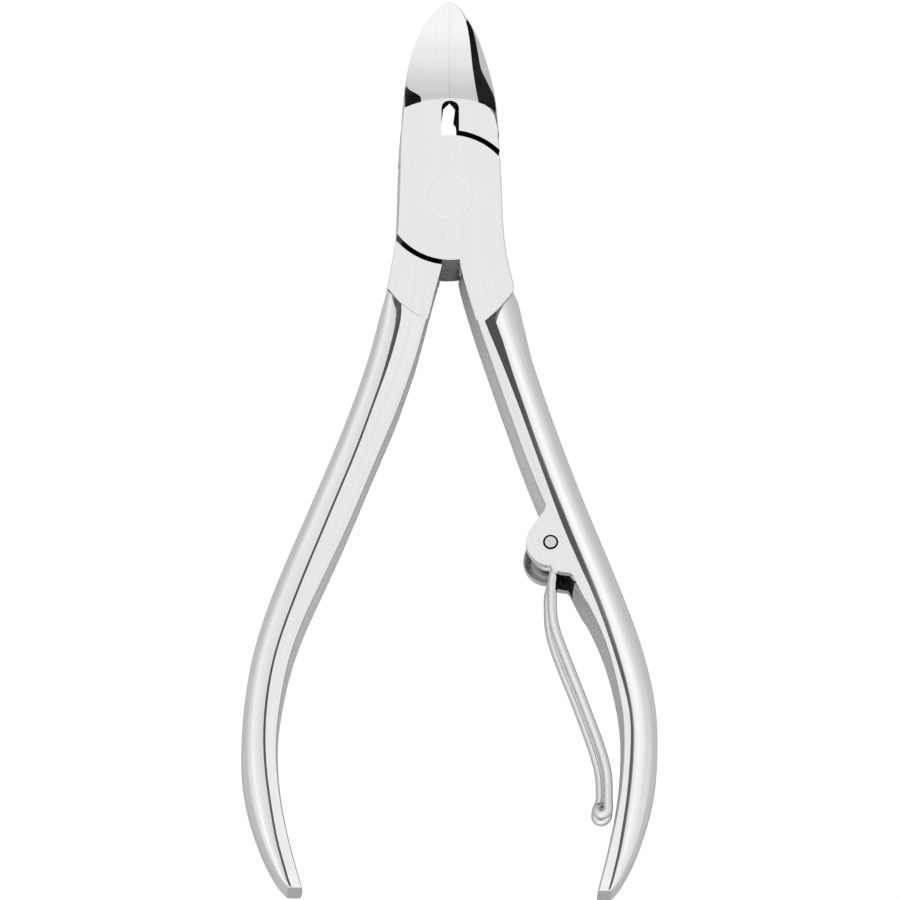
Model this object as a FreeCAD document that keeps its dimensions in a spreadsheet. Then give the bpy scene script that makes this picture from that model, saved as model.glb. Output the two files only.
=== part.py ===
import FreeCAD, Part
import math
import os
from FreeCAD import Vector

# Toenail nipper: two forged levers lapped and riveted together, and a wire return
# spring on a pin in the clevis of the front lever.  The front lever has the left jaw
# and the right handle, the rear lever the right jaw and the left handle.
# Frame: X across, +Y toward the jaw tips, +Z out of the front face.  The origin is on
# the pivot axis, on the rear face of the lap joint, on which the tool lies.

# ---------------------------------------------------------------- dimensions
DIMS = [
    ("joint_thick", 10.4),      # full thickness of the lap joint
    ("lap_gap", 0.03),          # half of the running gap between the two laps
    ("lap_radius", 9.2),        # round lap of each lever
    ("shoulder_radius", 9.95),  # shoulder the lap turns inside
    ("face_radius", 14.6),      # where the joint face breaks to the jaws
    ("skin_thick", 0.9),        # front and rear layers of the joint with their own plan
    ("edge_round", 0.22),       # rounding of the long outer edges of the joint
    ("seam_gap", 0.015),        # half of the gap between the closed jaws
    ("window_left", 1.2),       # sides and top of the window between the jaws
    ("window_right", 1.27),
    ("window_top", 14.25),
    ("rivet_radius", 3.1),
    ("rivet_fit", 0.04),        # radial running fit of the rear lever on the rivet
    ("rivet_rim", 0.07),        # broken edge of the rivet ends and of the front bore mouth
    ("pin_posx", 14.12),
    ("pin_posy", -50.46),
    ("pin_radius", 0.8),
    ("pin_length", 10.5),
    ("pin_forward", 0.05),      # shift of the pin to the front of the joint's middle
    ("sink_radius", 1.08),      # countersinks of the pin bore
    ("sink_depth", 0.28),
    ("bore_over", 1),           # length of a bore tool beyond each face
    ("ear_radius", 3.42),
    ("ear_thick", 1.6),
    ("slot_floor", 2.62),       # radius of the slot floor about the spring pin
    ("wire_dia", 1.34),
    ("coil_radius", 1.54),      # coils about the pin, to the wire's centre line
    ("coil_pitch", 1.38),
    ("coil_turns", 1.08),
    ("coil_gap", 0.08),         # between a coil and the ear beside it
    ("eye_radius", 0.8),        # eye at the lower end of the spring
]

doc = FreeCAD.newDocument("toenail_nipper")
sheet = doc.addObject("Spreadsheet::Sheet", "dims")
for row, (name, value) in enumerate(DIMS, 1):
    sheet.set("A%d" % row, name)
    sheet.set("B%d" % row, str(value))
    sheet.setAlias("B%d" % row, name)
doc.recompute()
dim = {name: float(getattr(sheet, name)) for name, _ in DIMS}

THICK = dim["joint_thick"]
MID = THICK / 2.0
SEAM = dim["seam_gap"]
PIN_X, PIN_Y = dim["pin_posx"], dim["pin_posy"]
FAR_X, FAR_Y = 20.0, 30.0       # beyond the joint and the jaws, for cutting plans


# ---------------------------------------------------------------- helpers
def poly_wire(points):
    corners = [Vector(*p) for p in points]
    return Part.makePolygon(corners + [corners[0]])


def poly_face(points):
    return Part.Face(poly_wire([(x, y, 0.0) for x, y in points]))


def disc(radius, x=0.0, y=0.0):
    return Part.Face(Part.Wire([Part.makeCircle(radius, Vector(x, y, 0))]))


def prism(plan, z0, z1):
    face = plan.copy()
    face.translate(Vector(0, 0, z0))
    return face.extrude(Vector(0, 0, z1 - z0))


def pivot_cylinder(radius, height, z):
    return Part.makeCylinder(radius, height, Vector(0, 0, z))


def spline(points):
    curve = Part.BSplineCurve()
    curve.interpolate([Vector(*p) for p in points])
    return curve.toShape()


def ramp(value):
    """The value held between 0 and 1."""
    return min(1.0, max(0.0, value))


# ---------------------------------------------------------------- lap joint
# x, y of the joint's outer sides: left from the top down, right from the bottom up
LEFT = [
    (-6.30, 16.2), (-6.42, 14.09), (-6.68, 11.44), (-6.95, 6.88), (-7.08, 2.03),
    (-7.22, -2.23), (-7.42, -5.1), (-7.90, -8.0), (-8.28, -10.2), (-8.72, -12.8),
    (-9.35, -15.8), (-10.1, -19.0),
]
RIGHT = [
    (10.6, -19.0), (9.90, -16.3), (9.22, -13.7), (8.62, -11.15), (7.98, -8.06), (7.62, -5.3),
    (7.44, -2.23), (7.28, 2.03), (7.02, 6.88), (6.86, 10.0), (6.62, 13.35), (6.25, 16.2),
]
# x, y of the window between the jaws, above the laps
WINDOW = [
    (-dim["window_left"], 6.0), (dim["window_right"], 6.0), (dim["window_right"], 13.15),
    (1.17, 13.62), (0.90, 13.97), (0.45, 14.20), (0.0, dim["window_top"]),
    (-0.45, 14.20), (-0.86, 13.97), (-1.10, 13.62), (-dim["window_left"], 13.15),
]
# x, y of the levers' sides below the pivot: the inner edge going down, then the
# slanting end of the joint face going outward
RIGHT_INNER = [
    (1.40, 0.0), (1.40, -9.0), (1.42, -9.5), (1.62, -10.4), (1.84, -11.28), (2.06, -12.16),
    (2.31, -13.04), (2.56, -13.93), (2.81, -14.81), (3.06, -15.69), (3.33, -16.57),
    (3.60, -17.46), (3.78, -18.0),
]
RIGHT_END = [
    (4.88, -18.10), (5.36, -17.72), (5.98, -17.12), (6.62, -16.46), (7.24, -15.78),
    (7.90, -15.03), (8.44, -14.36), (8.78, -13.80), (8.97, -13.30), (9.10, -12.90),
    (9.35, -12.55), (FAR_X, -12.4), (FAR_X, 0.0),
]
LEFT_INNER = [
    (-1.00, 0.0), (-1.02, -9.4), (-1.32, -10.4), (-1.53, -11.28), (-1.76, -12.16),
    (-2.02, -13.04), (-2.23, -13.93), (-2.45, -14.81), (-2.65, -15.69), (-2.88, -16.57),
    (-3.12, -17.46), (-3.28, -17.98),
]
LEFT_END = [
    (-4.60, -17.32), (-5.67, -16.60), (-6.40, -16.05), (-6.86, -15.68), (-7.24, -15.32),
    (-7.50, -15.02), (-7.86, -14.55), (-8.20, -14.12), (-8.52, -13.74), (-8.85, -13.42),
    (-9.25, -13.15), (-FAR_X, -12.9), (-FAR_X, 0.0),
]
INNER_BOTTOM = -18.1            # below every point of the inner edges
INSET_START, INSET_RUN = 9.4, 0.6   # below the pivot: where an inset begins, its run-in
FRONT_INSET = -0.07
REAR_INSET = 0.62
CORE_LIFT = 1.0


def full_outline():
    """Plan of the joint between its two outer sides."""
    return Part.Face(Part.Wire([
        spline([(x, y, 0) for x, y in LEFT]),
        Part.makeLine(Vector(*LEFT[-1], 0), Vector(*RIGHT[0], 0)),
        spline([(x, y, 0) for x, y in RIGHT]),
        Part.makeLine(Vector(*RIGHT[-1], 0), Vector(*LEFT[0], 0)),
    ]))


def joint_outline():
    """The full plan, ended by the face radius above the pivot."""
    above = poly_face([(-FAR_X, 0.0), (FAR_X, 0.0), (FAR_X, FAR_Y), (-FAR_X, FAR_Y)])
    beyond = above.cut(disc(dim["face_radius"]))
    return full_outline().common(disc(2 * FAR_X).cut(beyond))


def rounded_block():
    """The full plan through the whole thickness, its four long outer edges rounded."""
    block = prism(full_outline(), 0, THICK)
    long_edges = [e for e in block.Edges
                  if e.BoundBox.YLength > 20 and e.BoundBox.ZLength < 0.5]
    return block.makeFillet(dim["edge_round"], long_edges)


def upper_side(sign):
    """Plan of the joint above the pivot on one side of the seam, less the window."""
    edge, far = sign * SEAM, sign * FAR_X
    return poly_face([(edge, 0), (edge, FAR_Y), (far, FAR_Y), (far, 0)]).cut(window)


def lower_side(inner, end, inset, lift=0.0):
    """Plan below the pivot; inset moves the lower inner edge outward, lift raises the end."""
    sign = 1.0 if inner[0][0] > 0 else -1.0
    edge = [(x + sign * inset * ramp((-y - INSET_START) / INSET_RUN), y)
            for x, y in inner if y > INNER_BOTTOM + lift]
    raised = [(x, min(0.0, y + lift)) for x, y in end[:-1]]
    return poly_face(edge + raised + [end[-1]])


def joint_plate(upper, inner, end, z_lap0, z_lap1):
    """One lever's share of the joint: full thickness outside the shoulder, one lap inside."""
    shoulder = disc(dim["shoulder_radius"])
    skin = dim["skin_thick"]
    sides = upper.fuse(lower_side(inner, end, FRONT_INSET))
    rear_sides = upper.fuse(lower_side(inner, end, REAR_INSET))
    core_sides = upper.fuse(lower_side(inner, end, REAR_INSET, CORE_LIFT))
    # the lap reaches a little under the full thickness so that the two join
    neck = sides.common(disc(dim["shoulder_radius"] + 0.2))
    lap = outline.common(disc(dim["lap_radius"]).fuse(neck))
    front = prism(outline.common(sides).cut(shoulder), THICK - skin, THICK)
    rest = [
        prism(outline.common(rear_sides).cut(shoulder), 0, skin),
        prism(outline.common(core_sides).cut(shoulder), skin, THICK - skin),
        prism(lap, z_lap0, z_lap1),
    ]
    return front.fuse(rest).removeSplitter().common(soft_block)


# ---------------------------------------------------------------- handles
# y, x of the outer flank, width of the web wall, x of the top of the web wall,
# x of the inner edge, thickness over the web, grip height from the middle plane,
# fall of the grip to the wall, swell of the inner side
HANDLE_LEFT = [
    (-9.0, -7.95, 0.50, -6.20, -1.02, 10.20, 4.30, 0.20, 0.02),
    (-11.0, -8.30, 0.50, -6.50, -1.46, 10.20, 4.30, 0.20, 0.02),
    (-13.0, -8.78, 0.50, -6.75, -2.00, 10.20, 4.32, 0.20, 0.02),
    (-15.0, -9.32, 0.58, -6.84, -2.50, 10.20, 4.38, 0.20, 0.02),
    (-17.0, -9.84, 0.64, -6.83, -3.00, 10.15, 4.42, 0.20, 0.02),
    (-20.0, -10.60, 0.64, -7.33, -3.78, 10.00, 4.46, 0.20, 0.06),
    (-23.0, -11.42, 0.56, -8.13, -4.57, 9.80, 4.48, 0.20, 0.06),
    (-26.0, -12.34, 0.45, -9.08, -5.53, 9.65, 4.50, 0.20, 0.06),
    (-31.0, -14.08, 0.36, -10.84, -7.25, 9.45, 4.50, 0.20, 0.06),
    (-37.0, -16.38, 0.36, -12.97, -9.68, 9.35, 4.50, 0.20, 0.22),
    (-43.0, -18.82, 0.36, -15.35, -12.10, 9.30, 4.50, 0.20, 0.24),
    (-49.0, -21.32, 0.36, -17.76, -14.58, 9.30, 4.50, 0.20, 0.32),
    (-55.0, -23.79, 0.36, -20.15, -17.27, 9.30, 4.50, 0.20, 0.46),
    (-61.0, -25.97, 0.35, -22.40, -20.01, 9.30, 4.50, 0.20, 0.56),
    (-67.0, -27.64, 0.33, -24.31, -22.22, 9.15, 4.42, 0.20, 0.54),
    (-73.0, -28.61, 0.33, -25.42, -23.52, 8.85, 4.28, 0.20, 0.40),
    (-79.0, -29.03, 0.32, -25.82, -24.20, 8.45, 4.08, 0.20, 0.30),
    (-85.0, -28.85, 0.29, -25.48, -24.02, 7.95, 3.84, 0.18, 0.24),
    (-90.0, -27.89, 0.29, -24.76, -23.32, 7.40, 3.57, 0.18, 0.22),
    (-94.0, -26.59, 0.28, -24.01, -22.45, 6.85, 3.30, 0.16, 0.20),
    (-97.5, -24.99, 0.27, -23.05, -21.52, 6.35, 3.06, 0.14, 0.18),
    (-99.5, -23.70, 0.25, -22.46, -20.92, 6.00, 2.90, 0.12, 0.16),
    (-100.6, -22.55, 0.15, -22.02, -20.62, 5.60, 2.72, 0.10, 0.14),
]
HANDLE_RIGHT = [
    (-9.0, 7.98, 1.10, 2.80, 1.40, 10.20, 4.30, 0.40, 0.02),
    (-11.0, 8.48, 1.10, 3.10, 1.77, 10.20, 4.30, 0.42, 0.02),
    (-12.6, 9.05, 1.10, 3.40, 2.19, 10.20, 4.32, 0.42, 0.02),
    (-14.2, 9.80, 1.15, 3.75, 2.64, 10.20, 4.36, 0.42, 0.02),
    (-16.0, 10.22, 1.55, 4.25, 3.16, 10.15, 4.40, 0.42, 0.02),
    (-18.0, 10.62, 1.68, 4.86, 3.78, 10.10, 4.44, 0.42, 0.02),
    (-20.0, 11.05, 1.62, 5.63, 4.42, 10.05, 4.48, 0.40, 0.06),
    (-23.0, 11.76, 1.32, 6.84, 5.42, 10.00, 4.50, 0.37, 0.06),
    (-26.0, 12.70, 1.08, 8.00, 6.42, 9.98, 4.50, 0.38, 0.06),
    (-31.0, 14.39, 0.86, 9.85, 8.12, 9.98, 4.50, 0.38, 0.06),
    (-37.0, 16.54, 0.77, 11.93, 10.20, 10.05, 4.50, 0.40, 0.12),
    (-43.0, 18.79, 0.90, 14.02, 12.50, 10.25, 4.50, 0.40, 0.12),
    (-49.0, 21.19, 1.08, 16.22, 14.92, 10.36, 4.50, 0.40, 0.22),
    (-55.0, 23.60, 0.88, 18.78, 17.12, 10.36, 4.50, 0.41, 0.24),
    (-61.0, 25.88, 0.62, 21.22, 20.14, 10.10, 4.50, 0.42, 0.26),
    (-67.0, 27.75, 0.60, 23.22, 22.46, 9.50, 4.42, 0.41, 0.28),
    (-73.0, 28.96, 0.43, 24.85, 23.84, 8.95, 4.28, 0.38, 0.28),
    (-79.0, 29.30, 0.36, 25.38, 24.38, 8.45, 4.08, 0.37, 0.26),
    (-85.0, 28.95, 0.34, 25.03, 24.08, 7.95, 3.84, 0.37, 0.24),
    (-90.0, 27.95, 0.32, 24.42, 23.36, 7.40, 3.57, 0.33, 0.22),
    (-94.0, 26.67, 0.31, 23.78, 22.50, 6.85, 3.30, 0.27, 0.20),
    (-97.5, 25.06, 0.29, 23.04, 21.67, 6.35, 3.06, 0.18, 0.18),
    (-99.5, 23.83, 0.26, 22.55, 21.14, 6.00, 2.90, 0.11, 0.16),
    (-100.6, 22.70, 0.15, 22.15, 20.92, 5.60, 2.72, 0.10, 0.14),
]
FLANK_BOW = 0.04                # how far the flank leans in up to the grip's shoulder
FRONT_ROUND, REAR_ROUND = 0.16, 0.60    # rounding of the inner edge
ARC_MIDDLE = 0.293              # a quarter arc's midpoint from its corner, over its radius


def handle_section(y, flank, wall, web, inner, thick, crest, fall, swell):
    """Closed section at y; heights are measured both ways from the middle plane."""
    sign = 1.0 if flank > 0 else -1.0
    half = thick / 2.0
    valley_x, valley_z = web + sign * wall, crest - fall
    width = abs(flank - valley_x)
    crest_in = 0.60 * width                             # crest's distance in from the flank
    shoulder = min(1.25 * crest_in, 0.8 * crest)        # height of the grip's round shoulder
    shoulder_z = crest - shoulder

    grip = [(flank, 0.0), (flank - sign * FLANK_BOW * 0.25, shoulder_z * 0.5)]
    for degrees in range(0, 91, 18):
        angle = math.radians(degrees)
        depth = FLANK_BOW + (crest_in - FLANK_BOW) * (1 - math.cos(angle))
        grip.append((flank - sign * depth, shoulder_z + shoulder * math.sin(angle)))
    for k in (0.35, 0.7, 1.0):
        depth = crest_in + (width - crest_in) * k
        grip.append((flank - sign * depth, crest - fall * k * k))
    outer = [(x, -z) for x, z in reversed(grip)] + grip[1:]

    def at(x, z):
        return Vector(x, y, MID + z)

    def edge_round(radius, side):
        """Ends and middle of the inner edge's rounding: on the face, middle, on the side."""
        trim = radius * ARC_MIDDLE
        return (at(inner + sign * radius, side * half),
                at(inner + sign * trim, side * (half - trim)),
                at(inner, side * (half - radius)))

    front_face, front_mid, front_side = edge_round(FRONT_ROUND, 1)
    rear_face, rear_mid, rear_side = edge_round(REAR_ROUND, -1)
    belly = at(inner - sign * swell, (REAR_ROUND - FRONT_ROUND) / 2.0)
    return Part.Wire([
        spline([(x, y, MID + z) for x, z in outer]),
        Part.makeLine(at(valley_x, valley_z), at(web, half)),
        Part.makeLine(at(web, half), front_face),
        Part.Arc(front_face, front_mid, front_side).toShape(),
        Part.Arc(front_side, belly, rear_side).toShape(),
        Part.Arc(rear_side, rear_mid, rear_face).toShape(),
        Part.makeLine(rear_face, at(web, -half)),
        Part.makeLine(at(web, -half), at(valley_x, -valley_z)),
    ])


def handle(stations):
    body = Part.makeLoft([handle_section(*station) for station in stations], True, False)
    return body.cut(pivot_cylinder(dim["shoulder_radius"], THICK + 2, -1))


# ---------------------------------------------------------------- jaws
# y, inner bevel edge, outer bevel edge and flank (distances from the YZ plane),
# drop of the front below the joint face, z of the rear
JAW_LEFT = [
    (12.4, 4.10, 6.34, 6.62, 0.95, 0.35), (14.6, 4.00, 6.20, 6.50, 1.15, 0.50),
    (15.4, 4.25, 6.20, 6.42, 1.50, 0.62), (16.2, 5.35, 6.22, 6.34, 1.82, 0.80),
    (17.0, 6.03, 6.20, 6.26, 2.06, 1.02), (18.0, 6.04, 6.10, 6.13, 2.35, 1.35),
    (20.5, 5.63, 5.67, 5.70, 2.65, 2.45), (23.0, 4.90, 4.93, 4.96, 2.60, 3.80),
    (25.6, 3.82, 3.85, 3.88, 2.30, 5.30), (27.2, 2.70, 2.73, 2.75, 2.02, 6.35),
    (28.5, 1.52, 1.54, 1.56, 1.78, 7.25), (29.45, 0.36, 0.37, 0.38, 1.60, 7.92),
]
JAW_RIGHT = [
    (12.4, 4.40, 6.70, 6.90, 0.95, 0.35), (14.6, 4.02, 6.60, 6.84, 1.15, 0.50),
    (16.0, 3.82, 6.42, 6.72, 1.75, 0.75), (18.0, 3.55, 5.62, 6.38, 2.35, 1.35),
    (20.5, 3.22, 4.50, 5.72, 2.65, 2.45), (23.0, 2.98, 4.02, 4.88, 2.60, 3.80),
    (25.6, 2.60, 3.38, 3.70, 2.30, 5.30), (27.2, 2.10, 2.44, 2.60, 2.02, 6.35),
    (28.5, 1.30, 1.48, 1.60, 1.78, 7.25), (29.45, 0.28, 0.34, 0.40, 1.60, 7.92),
]
JAW_STEPS = 28
FULL_BEVEL = 0.9                # bevel width from which the bevel has its full depth

# hollow behind the cutting edges, open to the rear: y, z of its ridge, half width of its base
HOLLOW = [
    (14.0, 9.35, 3.2), (14.7, 8.45, 3.1), (16.0, 7.75, 3.0), (18.0, 7.05, 2.8),
    (20.5, 6.70, 2.7), (23.0, 6.80, 2.5), (25.6, 7.15, 2.2), (27.6, 7.55, 1.8),
]
HOLLOW_BASE = -0.5

# x, y of the cut at the upper right corner of the joint face, on the face and below it
CORNER_TOP = [(3.75, 14.10), (4.85, 13.72), (5.70, 13.10), (6.25, 12.15), (6.62, 10.6),
              (6.95, 9.0), (9.5, 9.0), (9.5, 17.5), (3.75, 17.5)]
CORNER_LOW = [(4.40, 15.60), (5.70, 15.10), (6.70, 14.30), (7.25, 12.90), (7.45, 10.8),
              (7.60, 9.0), (9.6, 9.0), (9.6, 17.6), (4.40, 17.6)]
CORNER_OVER, CORNER_DEPTH = 0.02, 3.4


def jaw_section(sign, y, bevel_in, bevel_out, flank, drop, z_rear):
    z_front = THICK - drop
    depth = z_front - z_rear
    share = ramp((bevel_out - bevel_in) / FULL_BEVEL)
    return poly_wire([(sign * x, y, z) for x, z in (
        (SEAM, z_front),
        (bevel_in, z_front),
        (bevel_out, z_front - (0.06 + 0.24 * share) * depth),
        (flank, z_front - (0.40 + 0.16 * share) * depth),
        (flank * 0.86, z_rear + 0.20 * depth),
        (flank * 0.60, z_rear),
        (SEAM, z_rear))])


def monotone(xs, values, x):
    """Shape-keeping cubic through the values, so that the loft doesn't swing out."""
    gaps = [b - a for a, b in zip(xs, xs[1:])]
    rates = [(b - a) / gap for a, b, gap in zip(values, values[1:], gaps)]
    slopes = [rates[0]]
    for i in range(1, len(gaps)):
        if rates[i - 1] * rates[i] <= 0:
            slopes.append(0.0)
        else:
            before = 2 * gaps[i] + gaps[i - 1]
            after = gaps[i] + 2 * gaps[i - 1]
            slopes.append((before + after) / (before / rates[i - 1] + after / rates[i]))
    slopes.append(rates[-1])
    i = 0
    while i < len(gaps) - 1 and x > xs[i + 1]:
        i += 1
    u = (x - xs[i]) / gaps[i]
    return (values[i] * (1 + 2 * u) * (1 - u) ** 2
            + gaps[i] * slopes[i] * u * (1 - u) ** 2
            + values[i + 1] * u * u * (3 - 2 * u)
            + gaps[i] * slopes[i + 1] * u * u * (u - 1))


def jaw(stations, sign):
    ys, *columns = zip(*stations)
    wires = []
    for i in range(JAW_STEPS + 1):
        y = ys[0] + (ys[-1] - ys[0]) * i / JAW_STEPS
        wires.append(jaw_section(sign, y, *[monotone(ys, column, y) for column in columns]))
    return Part.makeLoft(wires, True, False)


def jaw_hollow():
    return Part.makeLoft([
        poly_wire([(-half, y, HOLLOW_BASE), (half, y, HOLLOW_BASE), (0.0, y, ridge)])
        for y, ridge, half in HOLLOW], True, False)


def corner_cut():
    """The fall of the joint face's upper right corner into the bevel of the right jaw."""
    return Part.makeLoft([
        poly_wire([(x, y, THICK + CORNER_OVER) for x, y in CORNER_TOP]),
        poly_wire([(x, y, THICK - CORNER_DEPTH) for x, y in CORNER_LOW])], True, True)


# ---------------------------------------------------------------- clevis
# x, y of the ears' roots in the web of the right handle
EAR_ROOT = [
    (13.85, -44.6), (13.44, -45.2), (13.36, -45.65), (13.16, -46.02), (12.72, -46.5),
    (12.36, -47.05), (12.04, -47.55), (11.6, -48.05), (PIN_X, PIN_Y), (14.35, -54.36),
    (14.9, -54.56), (15.5, -54.74), (16.2, -54.86), (16.85, -54.93), (17.12, -55.14),
    (17.48, -55.75), (17.92, -56.65), (18.40, -57.65), (18.95, -58.72), (19.55, -59.6),
    (20.4, -59.4), (20.4, -54.0), (17.0, -46.0), (14.6, -44.2),
]
WALL_INSET = 0.03               # the ears stay this far inside the top of the web wall
SLOT_ALONG = Vector(0.385, -0.923, 0)   # down the handle at the clevis


def ear_block():
    """Both ears and their roots, still in one block."""
    limit = [(station[3] - WALL_INSET, station[0]) for station in HANDLE_RIGHT
             if -62 < station[0] < -40]
    inside = poly_face([(5.0, -43.0)] + limit + [(5.0, -61.0)])
    ears = disc(dim["ear_radius"], PIN_X, PIN_Y).fuse(poly_face(EAR_ROOT))
    return prism(ears.removeSplitter().common(inside), 0, THICK)


def slot():
    """Slot between the ears: round floor about the pin, open to the inner side."""
    z0, z1 = dim["ear_thick"], THICK - dim["ear_thick"]
    radius = dim["slot_floor"]
    center = Vector(PIN_X, PIN_Y, 0)
    along = SLOT_ALONG
    inward = Vector(along.y, -along.x, 0)
    corners = [
        center - inward * radius,
        center - inward * radius * 0.55 + along * 6.5,
        center + inward * 9 + along * 9.0,
        center + inward * 9 - along * radius,
        center - along * radius,
    ]
    floor = Part.makeCylinder(radius, z1 - z0, Vector(PIN_X, PIN_Y, z0))
    return floor.fuse(prism(poly_face([(v.x, v.y) for v in corners]), z0, z1))


# ---------------------------------------------------------------- lever blanks
outline = joint_outline()
soft_block = rounded_block()
window = poly_face(WINDOW)
# a hair clear of the laps, which close the window's lower end
window_cut = prism(window, -1, THICK + 1).cut(
    pivot_cylinder(dim["lap_radius"] + 0.002, THICK + 4, -2))
hollow = jaw_hollow()


def front_blank():
    z_lap = MID + dim["lap_gap"]
    plate = joint_plate(upper_side(-1), RIGHT_INNER, RIGHT_END, z_lap, THICK).cut(hollow)
    jaw_part = jaw(JAW_LEFT, -1.0).cut(window_cut).cut(hollow).cut(
        pivot_cylinder(dim["shoulder_radius"], z_lap, 0))
    grip = handle(HANDLE_RIGHT).fuse(ear_block()).removeSplitter().cut(slot())
    return plate.fuse(jaw_part).fuse(grip).removeSplitter()


def rear_blank():
    z_lap = MID - dim["lap_gap"]
    plate = joint_plate(upper_side(1), LEFT_INNER, LEFT_END, 0, z_lap)
    plate = plate.cut(corner_cut()).cut(hollow)
    jaw_part = jaw(JAW_RIGHT, 1.0).cut(window_cut).cut(hollow).cut(
        pivot_cylinder(dim["shoulder_radius"], THICK, z_lap))
    return plate.fuse(jaw_part).fuse(handle(HANDLE_LEFT)).removeSplitter()


# ---------------------------------------------------------------- wire spring
# x, y of the front leg's centre line, from the coil down to the eye
LEG = [
    (15.20, -52.5), (14.86, -53.6), (14.58, -54.8), (14.44, -56.2), (14.42, -58.0),
    (14.46, -59.8), (14.66, -61.4), (15.14, -63.2), (15.94, -65.4), (17.08, -68.35),
    (18.38, -71.7), (19.66, -75.1), (20.74, -78.0), (21.50, -80.3), (21.96, -82.0),
    (22.20, -83.5), (22.30, -85.0), (22.30, -86.4),
]
LEG_CLOSING = 1.45              # how far each leg comes in along Z by its lower end
COIL_START = -14.0              # angle at which the legs leave the coils
COIL_STEPS = 26
EYE_X, EYE_Y = 21.53, -88.15
EYE_SINK = 0.47                 # fall of the eye's centre from its first to its last point
EYE_START, EYE_SWEEP = -4.0, -532.0     # degrees, about one and a half turns
EYE_STEPS = 22
EYE_ENTRY_Y = -87.3
RINGS_PER_LOFT = 12


def coil(z_start, sign):
    points = []
    for i in range(COIL_STEPS + 1):
        turns = dim["coil_turns"] * i / COIL_STEPS
        angle = math.radians(COIL_START + 360.0 * turns)
        points.append((PIN_X + dim["coil_radius"] * math.cos(angle),
                       PIN_Y + dim["coil_radius"] * math.sin(angle),
                       z_start + sign * dim["coil_pitch"] * turns))
    return points


def legs(z_front, z_rear):
    """Front and rear legs; the rear one runs to the left of the front one."""
    front, rear = [], []
    for x, y in LEG:
        run = (PIN_Y - y) / (PIN_Y - LEG[-1][1])
        closing = LEG_CLOSING * ramp((run - 0.15) / 0.85)
        shift = 0.28 + 0.22 * ramp((-61.0 - y) / 6.0) + 0.50 * ramp((run - 0.55) / 0.45) ** 1.5
        shift *= ramp((-54.0 - y) / 2.3)
        front.append((x, y, z_front - closing))
        rear.append((x - shift, y, z_rear + closing))
    return front, rear


def eye(z_front, z_rear):
    """The eye, from the end of the front leg to the end of the rear leg."""
    points = [(22.32, EYE_ENTRY_Y, z_front - 0.03)]
    for i in range(EYE_STEPS + 1):
        u = i / EYE_STEPS
        angle = math.radians(EYE_START + EYE_SWEEP * u)
        lift = u - 0.75 * math.sin(2 * math.pi * u) / (2 * math.pi)
        points.append((EYE_X + dim["eye_radius"] * math.cos(angle),
                       EYE_Y - EYE_SINK * u + dim["eye_radius"] * math.sin(angle),
                       z_front - 0.05 + (z_rear - z_front + 0.10) * lift))
    points.append((20.98, EYE_ENTRY_Y, z_rear + 0.03))
    return points


def wire_path():
    inset = dim["ear_thick"] + dim["wire_dia"] / 2 + dim["coil_gap"]
    front_leg, rear_leg = legs(THICK - inset, inset)
    return (coil(THICK - inset, -1.0)[::-1] + front_leg
            + eye(front_leg[-1][2], rear_leg[-1][2])
            + rear_leg[::-1] + coil(inset, 1.0))


def ring_stations(edge):
    """Lengths along the wire at which rings stand, closer where it bends more."""
    total, samples = edge.Length, 1200
    step = total / samples
    spacing = []
    for i in range(samples + 1):
        bend = edge.curvatureAt(edge.getParameterByLength(total * i / samples))
        spacing.append(min(0.9, max(0.2, 0.28 / max(bend, 1e-6))))
    # the spacing changes gradually in both directions
    for i in range(1, samples + 1):
        spacing[i] = min(spacing[i], spacing[i - 1] + 0.12 * step)
    for i in range(samples - 1, -1, -1):
        spacing[i] = min(spacing[i], spacing[i + 1] + 0.12 * step)
    count = [0.0]
    for i in range(samples):
        count.append(count[-1] + step * 2.0 / (spacing[i] + spacing[i + 1]))
    rings = int(math.ceil(count[-1] / RINGS_PER_LOFT)) * RINGS_PER_LOFT
    stations, j = [], 0
    for i in range(rings + 1):
        target = count[-1] * i / rings
        while j < samples - 1 and count[j + 1] < target:
            j += 1
        part = (target - count[j]) / (count[j + 1] - count[j])
        stations.append(min(total, step * (j + part)))
    return stations


def wire_solid():
    """Round wire lofted through rings square to the centre line, in lengths sewn together."""
    edge = spline(wire_path())
    radius = dim["wire_dia"] / 2.0
    rings = []
    up = Vector(0, 0, 1)        # carried from ring to ring so that they don't twist
    for station in ring_stations(edge):
        t = edge.getParameterByLength(station)
        center, tangent = edge.valueAt(t), edge.tangentAt(t)
        tangent.normalize()
        up = up - tangent * up.dot(tangent)
        up.normalize()
        across = tangent.cross(up)
        rings.append(Part.Wire([
            Part.Arc(center + up * r, center + across * r, center - up * r).toShape()
            for r in (radius, -radius)]))
    faces = []
    for k in range(0, len(rings) - 1, RINGS_PER_LOFT):
        faces.extend(Part.makeLoft(rings[k:k + RINGS_PER_LOFT + 1], False, False).Faces)
    faces += [Part.Face(rings[0]), Part.Face(rings[-1])]
    shell = Part.makeShell(faces)
    shell.sewShape()
    # sewing may wrap the shell in a compound or leave it facing inward
    shell = shell.Shells[0] if shell.Shells else shell
    solid = Part.makeSolid(shell)
    if solid.Volume < 0:
        solid.reverse()
    return solid


# ---------------------------------------------------------------- document objects
AT_PIN = {"x": "dims.pin_posx", "y": "dims.pin_posy"}
RIM_RADIUS = "dims.rivet_radius - dims.rivet_rim"
FRONT_RIM_Z = "dims.joint_thick - dims.rivet_rim"
BORE = {"Height": "dims.joint_thick + 2 * dims.bore_over", "z": "-dims.bore_over"}


def feature(name, shape):
    obj = doc.addObject("Part::Feature", name)
    obj.Shape = shape
    return obj


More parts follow.
